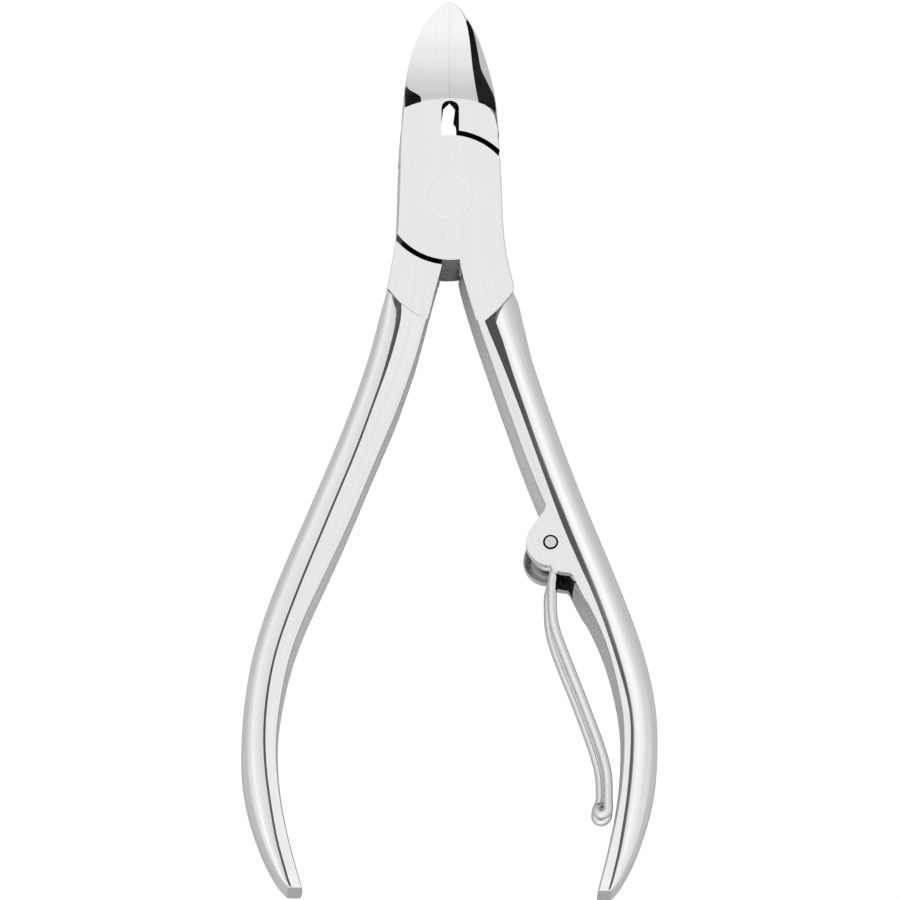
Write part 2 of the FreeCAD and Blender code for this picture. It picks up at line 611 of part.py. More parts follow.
def primitive(kind, name, x="0", y="0", z="0", **sizes):
    """A Part primitive whose sizes and place are expressions."""
    obj = doc.addObject("Part::" + kind, name)
    for prop, expression in sizes.items():
        obj.setExpression(prop, expression)
    for axis, expression in (("x", x), ("y", y), ("z", z)):
        obj.setExpression("Placement.Base." + axis, expression)
    return obj


def cylinder(name, radius, **rest):
    return primitive("Cylinder", name, Radius=radius, **rest)


def cone(name, radius_rear, radius_front, height, **place):
    return primitive("Cone", name, Radius1=radius_rear, Radius2=radius_front,
                     Height=height, **place)


def fusion(name, shapes):
    obj = doc.addObject("Part::MultiFuse", name)
    obj.Shapes = shapes
    return obj


def cut(name, base, tool):
    obj = doc.addObject("Part::Cut", name)
    obj.Base = base
    obj.Tool = tool
    return obj


def make_front_lever():
    blank = feature("front_lever_blank", front_blank())
    bores = fusion("front_lever_bores", [
        cylinder("rivet_bore", "dims.rivet_radius", **BORE),
        cone("mouth_front", "dims.rivet_radius", "dims.rivet_radius + dims.rivet_rim",
             "dims.rivet_rim", z=FRONT_RIM_Z),
        cylinder("pin_bore", "dims.pin_radius", **BORE, **AT_PIN),
        cone("sink_front", "dims.pin_radius", "dims.sink_radius", "dims.sink_depth",
             z="dims.joint_thick - dims.sink_depth", **AT_PIN),
        cone("sink_rear", "dims.sink_radius", "dims.pin_radius", "dims.sink_depth", **AT_PIN),
    ])
    lever = cut("front_lever", blank, bores)
    lever.Label = "front_lever_left_jaw_right_handle"
    return lever


def make_rear_lever():
    blank = feature("rear_lever_blank", rear_blank())
    bore = cylinder("pivot_bore", "dims.rivet_radius + dims.rivet_fit", **BORE)
    lever = cut("rear_lever", blank, bore)
    lever.Label = "rear_lever_right_jaw_left_handle"
    return lever


def make_rivet():
    rivet = fusion("rivet", [
        cylinder("rivet_shank", "dims.rivet_radius",
                 Height="dims.joint_thick - 2 * dims.rivet_rim", z="dims.rivet_rim"),
        cone("rivet_end_front", "dims.rivet_radius", RIM_RADIUS, "dims.rivet_rim",
             z=FRONT_RIM_Z),
        cone("rivet_end_rear", RIM_RADIUS, "dims.rivet_radius", "dims.rivet_rim"),
    ])
    rivet.Label = "pivot_rivet"
    return rivet


def make_pin():
    pin = cylinder("pin", "dims.pin_radius", Height="dims.pin_length",
                   z="(dims.joint_thick - dims.pin_length) / 2 + dims.pin_forward", **AT_PIN)
    pin.Label = "spring_pin"
    return pin


def make_spring():
    spring = feature("spring", wire_solid())
    spring.Label = "wire_spring"
    return spring


levers = [make_front_lever(), make_rear_lever()]
pieces = levers + [make_rivet(), make_pin(), make_spring()]
doc.recompute()

# ---------------------------------------------------------------- checks and export
for obj in doc.Objects:
    if "Invalid" in obj.State or "Error" in obj.State:
        raise RuntimeError("%s: %s" % (obj.Name, obj.State))
for obj in pieces:
    shape = obj.Shape
    if shape.isNull() or not shape.isValid() or len(shape.Solids) != 1:
        raise RuntimeError("%s: null, invalid or not one solid" % obj.Label)
    if obj in levers and (shape.BoundBox.YLength < 125.0 or shape.Volume < 6000.0):
        raise RuntimeError("%s: part of the lever is missing" % obj.Label)

os.makedirs("parts", exist_ok=True)
for obj in pieces:
    obj.Shape.exportStep(os.path.join("parts", obj.Label + ".step"))
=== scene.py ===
import math

import bpy
import numpy as np
from mathutils import Matrix, Vector


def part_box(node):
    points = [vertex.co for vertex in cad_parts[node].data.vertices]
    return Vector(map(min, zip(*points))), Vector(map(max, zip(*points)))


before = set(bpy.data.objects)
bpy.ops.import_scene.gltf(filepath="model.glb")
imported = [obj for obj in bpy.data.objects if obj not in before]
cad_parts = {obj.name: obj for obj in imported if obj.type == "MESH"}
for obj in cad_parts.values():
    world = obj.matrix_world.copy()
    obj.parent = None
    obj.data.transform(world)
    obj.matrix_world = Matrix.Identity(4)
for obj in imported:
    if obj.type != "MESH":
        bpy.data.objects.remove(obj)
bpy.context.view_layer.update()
MM = 0.001
scene = bpy.context.scene
FRONT = "front_lever_left_jaw_right_handle"
REAR = "rear_lever_right_jaw_left_handle"
RIVET, PIN, WIRE = "pivot_rivet", "spring_pin", "wire_spring"
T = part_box(RIVET)[1].z / MM          # thickness of the joint, mm
MID = T / 2.0


# ------------------------------------------------------------- node helpers
def new_material(name):
    m = bpy.data.materials.new(name)
    m.use_nodes = True
    nt = m.node_tree
    for n in list(nt.nodes):
        nt.nodes.remove(n)
    return m, nt


def N(nt, kind, ins=None, **props):
    n = nt.nodes.new(kind)
    for k, v in props.items():
        setattr(n, k, v)
    for name, val in (ins or {}).items():
        n.inputs[name].default_value = val
    return n


def steel(name, base, rough, haze=0.02, grain=0.1, grain_scale=(2600.0, 60.0, 2600.0), depth=0.00002,
          metallic=1.0, mottle=0.03, mottle_scale=60.0, specular=0.5, lines=0.0):
    """Polished or ground steel: broad polishing haze, fine directional grain, faint colour mottle."""
    m, nt = new_material(name)
    L = nt.links.new
    out = N(nt, "ShaderNodeOutputMaterial")
    bs = N(nt, "ShaderNodeBsdfPrincipled", {"Metallic": metallic, "Specular IOR Level": specular})
    co = N(nt, "ShaderNodeTexCoord")
    n1 = N(nt, "ShaderNodeTexNoise", {"Scale": mottle_scale, "Detail": 4.0, "Roughness": 0.55})
    L(co.outputs["Object"], n1.inputs["Vector"])
    mp = N(nt, "ShaderNodeMapping", {"Scale": grain_scale})
    L(co.outputs["Object"], mp.inputs["Vector"])
    n2 = N(nt, "ShaderNodeTexNoise", {"Scale": 1.0, "Detail": 3.0, "Roughness": 0.6})
    L(mp.outputs["Vector"], n2.inputs["Vector"])
    r1 = N(nt, "ShaderNodeMapRange", {"From Min": 0.3, "From Max": 0.7, "To Min": rough - haze, "To Max": rough + haze})
    L(n1.outputs["Fac"], r1.inputs["Value"])
    r2 = N(nt, "ShaderNodeMapRange", {"From Min": 0.3, "From Max": 0.7, "To Min": -haze * 0.6, "To Max": haze * 0.6})
    L(n2.outputs["Fac"], r2.inputs["Value"])
    ad = N(nt, "ShaderNodeMath", operation="ADD")
    L(r1.outputs["Result"], ad.inputs[0])
    L(r2.outputs["Result"], ad.inputs[1])
    L(ad.outputs["Value"], bs.inputs["Roughness"])
    mx = N(nt, "ShaderNodeMix", data_type="RGBA")
    mx.inputs[6].default_value = (*[max(0.0, c * (1 - mottle)) for c in base], 1.0)
    mx.inputs[7].default_value = (*[min(1.0, c * (1 + mottle)) for c in base], 1.0)
    av = N(nt, "ShaderNodeMath", operation="MULTIPLY_ADD")
    av.inputs[1].default_value = 0.5
    L(n1.outputs["Fac"], av.inputs[0])
    hl = N(nt, "ShaderNodeMath", operation="MULTIPLY")
    hl.inputs[1].default_value = 0.5
    L(n2.outputs["Fac"], hl.inputs[0])
    L(hl.outputs["Value"], av.inputs[2])
    L(av.outputs["Value"], mx.inputs[0])
    colour = mx.outputs[2]
    if lines:
        # faint polishing lines that follow the course of the handle
        at = N(nt, "ShaderNodeAttribute")
        at.attribute_name = "across"
        sx = N(nt, "ShaderNodeSeparateXYZ")
        L(co.outputs["Object"], sx.inputs[0])
        m1 = N(nt, "ShaderNodeMath", operation="MULTIPLY")
        m1.inputs[1].default_value = 1.5
        L(at.outputs["Fac"], m1.inputs[0])
        m2 = N(nt, "ShaderNodeMath", operation="MULTIPLY")
        m2.inputs[1].default_value = 16.0
        L(sx.outputs[1], m2.inputs[0])
        cb = N(nt, "ShaderNodeCombineXYZ")
        L(m1.outputs[0], cb.inputs[0])
        L(m2.outputs[0], cb.inputs[1])
        n3 = N(nt, "ShaderNodeTexNoise", {"Scale": 1.0, "Detail": 4.0, "Roughness": 0.7})
        L(cb.outputs[0], n3.inputs["Vector"])
        r3 = N(nt, "ShaderNodeMapRange", {"From Min": 0.35, "From Max": 0.65, "To Min": 1.0 - lines, "To Max": 1.0 + lines * 0.4})
        L(n3.outputs["Fac"], r3.inputs["Value"])
        r4 = N(nt, "ShaderNodeMapRange", {"From Min": -0.022, "From Max": -0.012, "To Min": 1.0 - 2.2 * lines, "To Max": 1.0 - 0.8 * lines})
        L(sx.outputs[1], r4.inputs["Value"])
        L(r4.outputs["Result"], r3.inputs["To Min"])
        vs = N(nt, "ShaderNodeVectorMath", operation="SCALE")
        L(colour, vs.inputs[0])
        L(r3.outputs["Result"], vs.inputs["Scale"])
        colour = vs.outputs[0]
    L(colour, bs.inputs["Base Color"])
    bump = N(nt, "ShaderNodeBump", {"Strength": grain, "Distance": depth})
    L(n2.outputs["Fac"], bump.inputs["Height"])
    L(bump.outputs["Normal"], bs.inputs["Normal"])
    L(bs.outputs["BSDF"], out.inputs["Surface"])
    return m


POLISHED = steel("polished_steel", (0.915, 0.915, 0.92), 0.09, haze=0.02, grain=0.05, lines=0.025)
# ground steel grain for the web walls and the slanting joint ends; the near-black base colour is painted shade on these
# steep walls
GROUND_WALL_SHADE = steel("ground_wall_painted_shade", (0.125, 0.125, 0.127), 0.30, haze=0.06, grain=0.5, grain_scale=(900.0, 300.0, 5200.0),
               mottle=0.12, mottle_scale=400.0)
# painted dark reflection on the jaw bevels and the slope beside the right jaw, and painted shade in the ring round the
# spring pin
PAINTED_DARK = steel("painted_dark_reflection_and_shade", (0.0055, 0.0055, 0.006), 0.16, haze=0.05, grain=0.25, mottle=0.4, mottle_scale=160.0, specular=0.22)
# painted black shade on the lap walls and meeting faces, the right and top walls of the relief window and the deep
# walls of the clevis slot
RECESS_SHADE = steel("lap_recess_painted_shade", (0.004, 0.004, 0.004), 0.45, haze=0.08, grain=0.4, mottle=0.4)
# ground grain with a mid-grey base colour that is painted shade on the crotch walls, the left wall of the relief window
# and the hollow behind the cutting edges
UNDER_SHADE = steel("crotch_face_painted_shade", (0.36, 0.36, 0.365), 0.30, haze=0.06, grain=0.5, grain_scale=(400.0, 3000.0, 3000.0),
              mottle=0.15, mottle_scale=300.0)
TIP = steel("ground_tip", (0.62, 0.62, 0.625), 0.32, haze=0.08, grain=0.9, grain_scale=(1500.0, 1500.0, 1500.0),
            depth=0.00004, mottle=0.18, mottle_scale=900.0)
RIVET_M = steel("rivet_steel", (0.92, 0.92, 0.925), 0.09, haze=0.025, grain=0.12)
PIN_M = steel("pin_steel", (0.74, 0.74, 0.745), 0.30, haze=0.06, grain=0.5, grain_scale=(3000.0, 3000.0, 800.0),
              mottle=0.12, mottle_scale=800.0)
WIRE_M = steel("spring_wire", (0.79, 0.79, 0.795), 0.11, haze=0.03, grain=0.25, grain_scale=(3000.0, 200.0, 3000.0))
# mid-grey base colour is painted shade: it dims the highlight on the rounded inner edges of the handles and darkens the
# inner faces of the clevis ears
EDGE_SHADE = steel("inner_edge_painted_shade", (0.50, 0.50, 0.505), 0.22, haze=0.04, grain=0.2)
SLOTS = [POLISHED, GROUND_WALL_SHADE, PAINTED_DARK, RECESS_SHADE, UNDER_SHADE, TIP, EDGE_SHADE]

# --------------------------------------- stations of the levers, for the zones
# y, outer flank, width of the web wall, top of the web wall, inner edge,
# thickness over the web, grip height, fall of the grip to the wall, swell of the inner side
HANDLE_LEFT = [
    (-9.0, -7.95, 0.50, -6.20, -1.02, 10.20, 4.30, 0.20, 0.02),
    (-11.0, -8.30, 0.50, -6.50, -1.46, 10.20, 4.30, 0.20, 0.02),
    (-13.0, -8.78, 0.50, -6.75, -2.00, 10.20, 4.32, 0.20, 0.02),
    (-15.0, -9.32, 0.58, -6.84, -2.50, 10.20, 4.38, 0.20, 0.02),
    (-17.0, -9.84, 0.64, -6.83, -3.00, 10.15, 4.42, 0.20, 0.02),
    (-20.0, -10.60, 0.64, -7.33, -3.78, 10.00, 4.46, 0.20, 0.06),
    (-23.0, -11.42, 0.56, -8.13, -4.57, 9.80, 4.48, 0.20, 0.06),
    (-26.0, -12.34, 0.45, -9.08, -5.53, 9.65, 4.50, 0.20, 0.06),
    (-31.0, -14.08, 0.36, -10.84, -7.25, 9.45, 4.50, 0.20, 0.06),
    (-37.0, -16.38, 0.36, -12.97, -9.68, 9.35, 4.50, 0.20, 0.22),
    (-43.0, -18.82, 0.36, -15.35, -12.10, 9.30, 4.50, 0.20, 0.24),
    (-49.0, -21.32, 0.36, -17.76, -14.58, 9.30, 4.50, 0.20, 0.32),
    (-55.0, -23.79, 0.36, -20.15, -17.27, 9.30, 4.50, 0.20, 0.46),
    (-61.0, -25.97, 0.35, -22.40, -20.01, 9.30, 4.50, 0.20, 0.56),
    (-67.0, -27.64, 0.33, -24.31, -22.22, 9.15, 4.42, 0.20, 0.54),
    (-73.0, -28.61, 0.33, -25.42, -23.52, 8.85, 4.28, 0.20, 0.40),
    (-79.0, -29.03, 0.32, -25.82, -24.20, 8.45, 4.08, 0.20, 0.30),
    (-85.0, -28.85, 0.29, -25.48, -24.02, 7.95, 3.84, 0.18, 0.24),
    (-90.0, -27.89, 0.29, -24.76, -23.32, 7.40, 3.57, 0.18, 0.22),
    (-94.0, -26.59, 0.28, -24.01, -22.45, 6.85, 3.30, 0.16, 0.20),
    (-97.5, -24.99, 0.27, -23.05, -21.52, 6.35, 3.06, 0.14, 0.18),
    (-99.5, -23.70, 0.25, -22.46, -20.92, 6.00, 2.90, 0.12, 0.16),
    (-100.6, -22.55, 0.15, -22.02, -20.62, 5.60, 2.72, 0.10, 0.14),
]
HANDLE_RIGHT = [
    (-9.0, 7.98, 1.10, 2.80, 1.40, 10.20, 4.30, 0.40, 0.02),
    (-11.0, 8.48, 1.10, 3.10, 1.77, 10.20, 4.30, 0.42, 0.02),
    (-12.6, 9.05, 1.10, 3.40, 2.19, 10.20, 4.32, 0.42, 0.02),
    (-14.2, 9.80, 1.15, 3.75, 2.64, 10.20, 4.36, 0.42, 0.02),
    (-16.0, 10.22, 1.55, 4.25, 3.16, 10.15, 4.40, 0.42, 0.02),
    (-18.0, 10.62, 1.68, 4.86, 3.78, 10.10, 4.44, 0.42, 0.02),
    (-20.0, 11.05, 1.62, 5.63, 4.42, 10.05, 4.48, 0.40, 0.06),
    (-23.0, 11.76, 1.32, 6.84, 5.42, 10.00, 4.50, 0.37, 0.06),
    (-26.0, 12.70, 1.08, 8.00, 6.42, 9.98, 4.50, 0.38, 0.06),
    (-31.0, 14.39, 0.86, 9.85, 8.12, 9.98, 4.50, 0.38, 0.06),
    (-37.0, 16.54, 0.77, 11.93, 10.20, 10.05, 4.50, 0.40, 0.12),
    (-43.0, 18.79, 0.90, 14.02, 12.50, 10.25, 4.50, 0.40, 0.12),
    (-49.0, 21.19, 1.08, 16.22, 14.92, 10.36, 4.50, 0.40, 0.22),
    (-55.0, 23.60, 0.88, 18.78, 17.12, 10.36, 4.50, 0.41, 0.24),
    (-61.0, 25.88, 0.62, 21.22, 20.14, 10.10, 4.50, 0.42, 0.26),
    (-67.0, 27.75, 0.60, 23.22, 22.46, 9.50, 4.42, 0.41, 0.28),
    (-73.0, 28.96, 0.43, 24.85, 23.84, 8.95, 4.28, 0.38, 0.28),
    (-79.0, 29.30, 0.36, 25.38, 24.38, 8.45, 4.08, 0.37, 0.26),
    (-85.0, 28.95, 0.34, 25.03, 24.08, 7.95, 3.84, 0.37, 0.24),
    (-90.0, 27.95, 0.32, 24.42, 23.36, 7.40, 3.57, 0.33, 0.22),
    (-94.0, 26.67, 0.31, 23.78, 22.50, 6.85, 3.30, 0.27, 0.20),
    (-97.5, 25.06, 0.29, 23.04, 21.67, 6.35, 3.06, 0.18, 0.18),
    (-99.5, 23.83, 0.26, 22.55, 21.14, 6.00, 2.90, 0.11, 0.16),
    (-100.6, 22.70, 0.15, 22.15, 20.92, 5.60, 2.72, 0.10, 0.14),
]
# y, inner bevel edge, outer bevel edge, flank, front drop, rear z
JAW_LEFT = [
    (12.4, 4.10, 6.34, 6.62, 0.95, 0.35), (14.6, 4.00, 6.20, 6.50, 1.15, 0.50), (15.4, 4.25, 6.20, 6.42, 1.50, 0.62),
    (16.2, 5.35, 6.22, 6.34, 1.82, 0.80), (17.0, 6.03, 6.20, 6.26, 2.06, 1.02), (18.0, 6.04, 6.10, 6.13, 2.35, 1.35),
    (20.5, 5.63, 5.67, 5.70, 2.65, 2.45), (23.0, 4.90, 4.93, 4.96, 2.60, 3.80), (25.6, 3.82, 3.85, 3.88, 2.30, 5.30),
    (27.2, 2.70, 2.73, 2.75, 2.02, 6.35), (28.5, 1.52, 1.54, 1.56, 1.78, 7.25), (29.45, 0.36, 0.37, 0.38, 1.60, 7.92),
]
JAW_RIGHT = [
    (12.4, 4.40, 6.70, 6.90, 0.95, 0.35), (14.6, 4.02, 6.60, 6.84, 1.15, 0.50), (16.0, 3.82, 6.42, 6.72, 1.75, 0.75),
    (18.0, 3.55, 5.62, 6.38, 2.35, 1.35), (20.5, 3.22, 4.50, 5.72, 2.65, 2.45), (23.0, 2.98, 4.02, 4.88, 2.60, 3.80),
    (25.6, 2.60, 3.38, 3.70, 2.30, 5.30), (27.2, 2.10, 2.44, 2.60, 2.02, 6.35), (28.5, 1.30, 1.48, 1.60, 1.78, 7.25),
    (29.45, 0.28, 0.34, 0.40, 1.60, 7.92),
]


class Smooth:
    """Natural cubic splines through the columns of a station table."""

    def __init__(self, table):
        t = np.array(sorted(table), float)
        self.x, self.v = t[:, 0], t[:, 1:]
        n = len(self.x)
        h = np.diff(self.x)
        A = np.eye(n)
        B = np.zeros_like(self.v)
        for i in range(1, n - 1):
            A[i, i - 1], A[i, i], A[i, i + 1] = h[i - 1], 2 * (h[i - 1] + h[i]), h[i]
            B[i] = 6 * ((self.v[i + 1] - self.v[i]) / h[i] - (self.v[i] - self.v[i - 1]) / h[i - 1])
        self.m = np.linalg.solve(A, B)

    def at(self, y):
        y = np.clip(y, self.x[0], self.x[-1])
        i = np.clip(np.searchsorted(self.x, y) - 1, 0, len(self.x) - 2)
        h = (self.x[i + 1] - self.x[i])[:, None]
        a, b = (self.x[i + 1] - y)[:, None], (y - self.x[i])[:, None]
        out = (self.m[i] * a ** 3 + self.m[i + 1] * b ** 3) / (6 * h)
        out += (self.v[i] / h - self.m[i] * h / 6) * a + (self.v[i + 1] / h - self.m[i + 1] * h / 6) * b
        return out.T


def islands(me):
    """Connected patch number of every polygon: one patch per face of the solid."""
    nv = len(me.vertices)
    ed = np.zeros(len(me.edges) * 2, np.int64)
    me.edges.foreach_get("vertices", ed)
    ed = ed.reshape(-1, 2)
    lab = np.arange(nv)
    while True:
        m = np.minimum(lab[ed[:, 0]], lab[ed[:, 1]])
        new = lab.copy()
        np.minimum.at(new, ed[:, 0], m)
        np.minimum.at(new, ed[:, 1], m)
        new = new[new]
        if (new == lab).all():
            break
        lab = new
    start = np.zeros(len(me.polygons), np.int64)
    me.polygons.foreach_get("loop_start", start)
    lv = np.zeros(len(me.loops), np.int64)
    me.loops.foreach_get("vertex_index", lv)
    return np.unique(lab[lv[start]], return_inverse=True)[1], lv


def section_normals(sp, x, y, z, kind, s):
    """Exact surface normals of a handle at points on it; kind tells grip, wall or web."""
    xo, wall, xw, xi, thick, crest, fall, _ = sp.at(y)
    e = 0.05
    d = (sp.at(y + e) - sp.at(y - e)) / (2 * e)
    dxo, dwall, dxw, dxi, dth, dcr, dfa, _ = d
    xg, dxg = xw + s * wall, dxw + s * dwall
    zz = z - MID
    sz = np.where(zz < 0, -1.0, 1.0)
    az = np.abs(zz)
    w, dw = s * (xo - xg), s * (dxo - dxg)
    uc, duc = 0.60 * w, 0.60 * dw
    b, db = 1.25 * uc, 1.25 * duc
    cap = b > 0.8 * crest
    b, db = np.where(cap, 0.8 * crest, b), np.where(cap, 0.8 * dcr, db)
    z0, dz0, bow = crest - b, dcr - db, 0.04
    u = np.clip(s * (xo - x), 0, None)
    # grip: slightly bowed flank, then a rounded shoulder
    by_z = np.arcsin(np.clip((az - z0) / b, 0, 1))
    by_x = np.arccos(np.clip(1 - (u - bow) / np.maximum(uc - bow, 1e-6), 0, 1))
    k = np.clip((by_z - 0.5) / 0.6, 0, 1)
    a = by_z * (1 - k) + by_x * k
    f = np.clip(az / z0, 0, 1)
    low = az < z0
    tx = np.where(low, -s * 2 * bow * f * f / np.maximum(z0, 1e-6), -s * (uc - bow) * np.sin(a))
    tx = np.where(low, -s * 2 * bow * f / z0 * np.clip((1 - f) / 0.25, 0, 1), tx)
    tz = np.where(low, 1.0, b * np.cos(a))
    lx = np.where(low, dxo, dxo - s * duc * (1 - np.cos(a)))
    lz = np.where(low, 0.0, dz0 + db * np.sin(a))
    past = u > uc
    kk = np.clip((u - uc) / np.maximum(w - uc, 1e-6), 0, 1)
    tx = np.where(past, -s * (w - uc), tx)
    tz = np.where(past, -2 * fall * kk, tz)
    lx = np.where(past, dxo - s * (duc + (dw - duc) * kk), lx)
    lz = np.where(past, dcr - dfa * kk * kk, lz)
    # other parts
    half, dh = thick / 2, dth / 2
    wl = kind == 1
    tx = np.where(wl, xw - xg, tx)
    tz = np.where(wl, half - (crest - fall), tz)
    lx, lz = np.where(wl, dxw, lx), np.where(wl, dh, lz)
    wb = kind == 2
    tx, tz = np.where(wb, -s * 1.0, tx), np.where(wb, 0.0, tz)
    lx, lz = np.where(wb, 0.0, lx), np.where(wb, dh, lz)
    # normal = section tangent x course of the handle, pointing outward
    N = np.stack([tz, -(tz * lx - tx * lz), -tx], 1) * s
    N[:, 2] *= sz
    ln = np.linalg.norm(N, axis=1)
    return N / np.maximum(ln, 1e-9)[:, None]


PIN_X, PIN_Y = (sum(v) / 2 / MM for v in zip(*[q[:2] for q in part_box(PIN)]))
EAR = 1.6                            # thickness of an ear of the clevis, mm


def xw_of(y):
    return Smooth(HANDLE_RIGHT).at(y)[2]


def zones(node):
    """Finish and painted shade of every face of a lever from where it lies and which way it faces, and exact normals on
    the handle.
    """
    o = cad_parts[node]
    me = o.data
    n = len(me.polygons)
    c = np.zeros(n * 3)
    me.polygons.foreach_get("center", c)
    c = c.reshape(-1, 3) / MM
    nm = np.zeros(n * 3)
    me.polygons.foreach_get("normal", nm)
    nm = nm.reshape(-1, 3)
    area = np.zeros(n)
    me.polygons.foreach_get("area", area)
    isl, lv = islands(me)
    ni = isl.max() + 1
    tot = np.bincount(isl, area, ni)

    def share(mask):
        """Part of each patch's area inside mask, per polygon."""
        return (np.bincount(isl, area * mask, ni) / np.maximum(tot, 1e-15))[isl]
    x, y, z = c.T
    nx, ny, nz = nm.T
    r = np.hypot(x, y)
    idx = np.zeros(n, np.int32)
    flat = abs(nz) < 0.35
    # round walls of the laps and shoulders, and the meeting faces of the laps: painted black shade, left polished at
    # the upper left flank; the crotch walls get a grey painted shade
    lap = flat & (r > 9.12) & (r < 10.02) & (abs(nx * x + ny * y) / np.maximum(r, 1e-6) > 0.97)
    idx[lap] = 3
    idx[lap & (x < -6.5) & (y > 0.0)] = 0
    idx[(abs(nz) > 0.9) & (abs(z - MID) < 0.12) & (r < 10.2)] = 3
    crotch = lap & (y < -8.7) & (x > -1.2) & (x < 1.75)
    idx[crotch] = 4
    # walls of the relief window: painted black shade on the right and top, grey painted shade on the left
    win = (abs(nz) < 0.6) & (abs(x) < 1.35) & (y > 9.0) & (y < 14.5) & ~lap
    idx[win & ((x > 0.5) | (y > 13.7))] = 3
    idx[win & (x <= 0.5) & (y <= 13.7)] = 4
    # hollow behind the cutting edges: grey painted shade on its downward faces
    hol = (y > 13.9) & (y < 28.0) & (nz < 0.0) & (nz > -0.75) & (abs(x) < 3.3) & (nx * np.sign(x) < -0.3)
    idx[hol] = 4
    # bevels of the jaws, painted black: a painted dark reflection
    tj, s = (JAW_RIGHT, -1.0) if node == REAR else (JAW_LEFT, 1.0)
    js = 1.0 if node == REAR else -1.0
    t = sorted(tj)
    ys = [q[0] for q in t]
    wi, wo, zf, zr = (np.interp(y, ys, [q[k] for q in t]) for k in (1, 2, 4, 5))
    zf = T - zf
    ax = js * x
    top_y = 40.0 if node == REAR else 17.0
    bev = (y > 12.3) & (y < top_y) & (y < 26.9) & (ax > wi - 0.02) & (ax < wo + 0.02) & (nz > 0.05) & (z > zr + 0.5 * (zf - zr)) & (nz < 0.97)
    idx[bev] = 2
    if node == REAR:
        # painted dark reflection on the upward slopes beside the right jaw
        idx[(y > 8.9) & (y < 14.9) & (x > 3.6) & (nz > 0.12) & (nz < 0.93) & (z > T - 3.5)] = 2
    if node == FRONT:
        rp = np.hypot(x - PIN_X, y - PIN_Y)
        # painted shade: the ring round the spring pin is painted black
        idx[(rp < 1.12) & (rp > 0.72) & (((z > T - 0.4) | (z < 0.4)) & (abs(nz) < 0.97))] = 2
        inside = (z > EAR - 0.02) & (z < T - EAR + 0.02) & (rp < 12.0) & (x < 20.5) & (y < PIN_Y + 3.2)
        deep = inside & ((flat & (rp < 2.75) & (nx * (x - PIN_X) + ny * (y - PIN_Y) < -0.5 * rp))
                         | (flat & (rp > 2.4) & (abs(nx * 0.923 + ny * 0.385) > 0.8) & (rp < 7.0) & (s * (x - xw_of(y)) > -3.9)
                            & (share((rp < 10.0) & (z > EAR - 0.1) & (z < T - EAR + 0.1)) > 0.9)))
        # painted shade inside the clevis slot: the ear faces mid grey, the deep walls black
        idx[inside & (abs(nz) > 0.9) & ((abs(z - EAR) < 0.05) | (abs(z - T + EAR) < 0.05))] = 6
        idx[deep] = 3
    # slanting end of the joint face, painted dark as shade
    step = flat & (y < -12.3) & (y > -18.6) & ((z > T - 1.4) | (z < 1.4)) & (s * x > 3.9) & (ny < -0.25) & (s * nx > 0.0) & (share(z > MID) * 0 + 1 > 0)
    idx[step] = 1
    # handle
    sp = Smooth(HANDLE_RIGHT if s > 0 else HANDLE_LEFT)
    xo, wall, xw, xi, thick, crest, fall, _ = sp.at(y)
    u = s * (x - xw)
    inh = y < -9.2
    is_grip = share(inh & (u > wall - 0.05) & (s * nx > -0.6)) > 0.9
    is_wall = (share(inh & (u > -0.12) & (u < wall + 0.12) & (abs(nz) < 0.96) & (s * nx > 0.1)) > 0.7) & ~is_grip
    is_web = (share(inh & (u < 0.1) & (abs(nz) > 0.97) & (abs(abs(z - MID) - thick / 2) < 0.12)) > 0.9)
    # painted shade: the steep web walls are painted near black
    idx[is_wall & (y > -100.4) & ~step] = 1
    v = abs(z - MID)
    is_edge = share(inh & (abs(s * (x - xi)) < 0.26) & (v > thick / 2 - 0.26) & (abs(nz) < 0.99)) > 0.8
    # painted shade: the rounded inner edges of the handles are painted mid grey to dim their highlight
    idx[is_edge & (y > -100.4) & (y < -16.0)] = 6
    idx[(y < -100.5) & (ny < -0.9)] = 5
    me.materials.clear()
    for m in SLOTS:
        me.materials.append(m)
    me.polygons.foreach_set("material_index", idx)
    me.polygons.foreach_set("use_smooth", np.ones(n, bool))
    # distance across the lever from the top of the web wall, for the polishing lines
    vc = np.zeros(len(me.vertices) * 3)
    me.vertices.foreach_get("co", vc)
    vx, vy = vc.reshape(-1, 3)[:, 0] / MM, vc.reshape(-1, 3)[:, 1] / MM
    top = Smooth(HANDLE_RIGHT if s > 0 else HANDLE_LEFT).at(np.minimum(vy, -9.0))[2]
    start = Smooth(HANDLE_RIGHT if s > 0 else HANDLE_LEFT).at(np.full(1, -9.0))[2][0]
    blend = np.clip((-9.0 - vy) / 6.0, 0.0, 1.0)
    att = me.attributes.new("across", "FLOAT", "POINT")
    att.data.foreach_set("value", (vx - np.where(vy < -9.0, top, start) * blend - start * (1 - blend)).astype(np.float32))
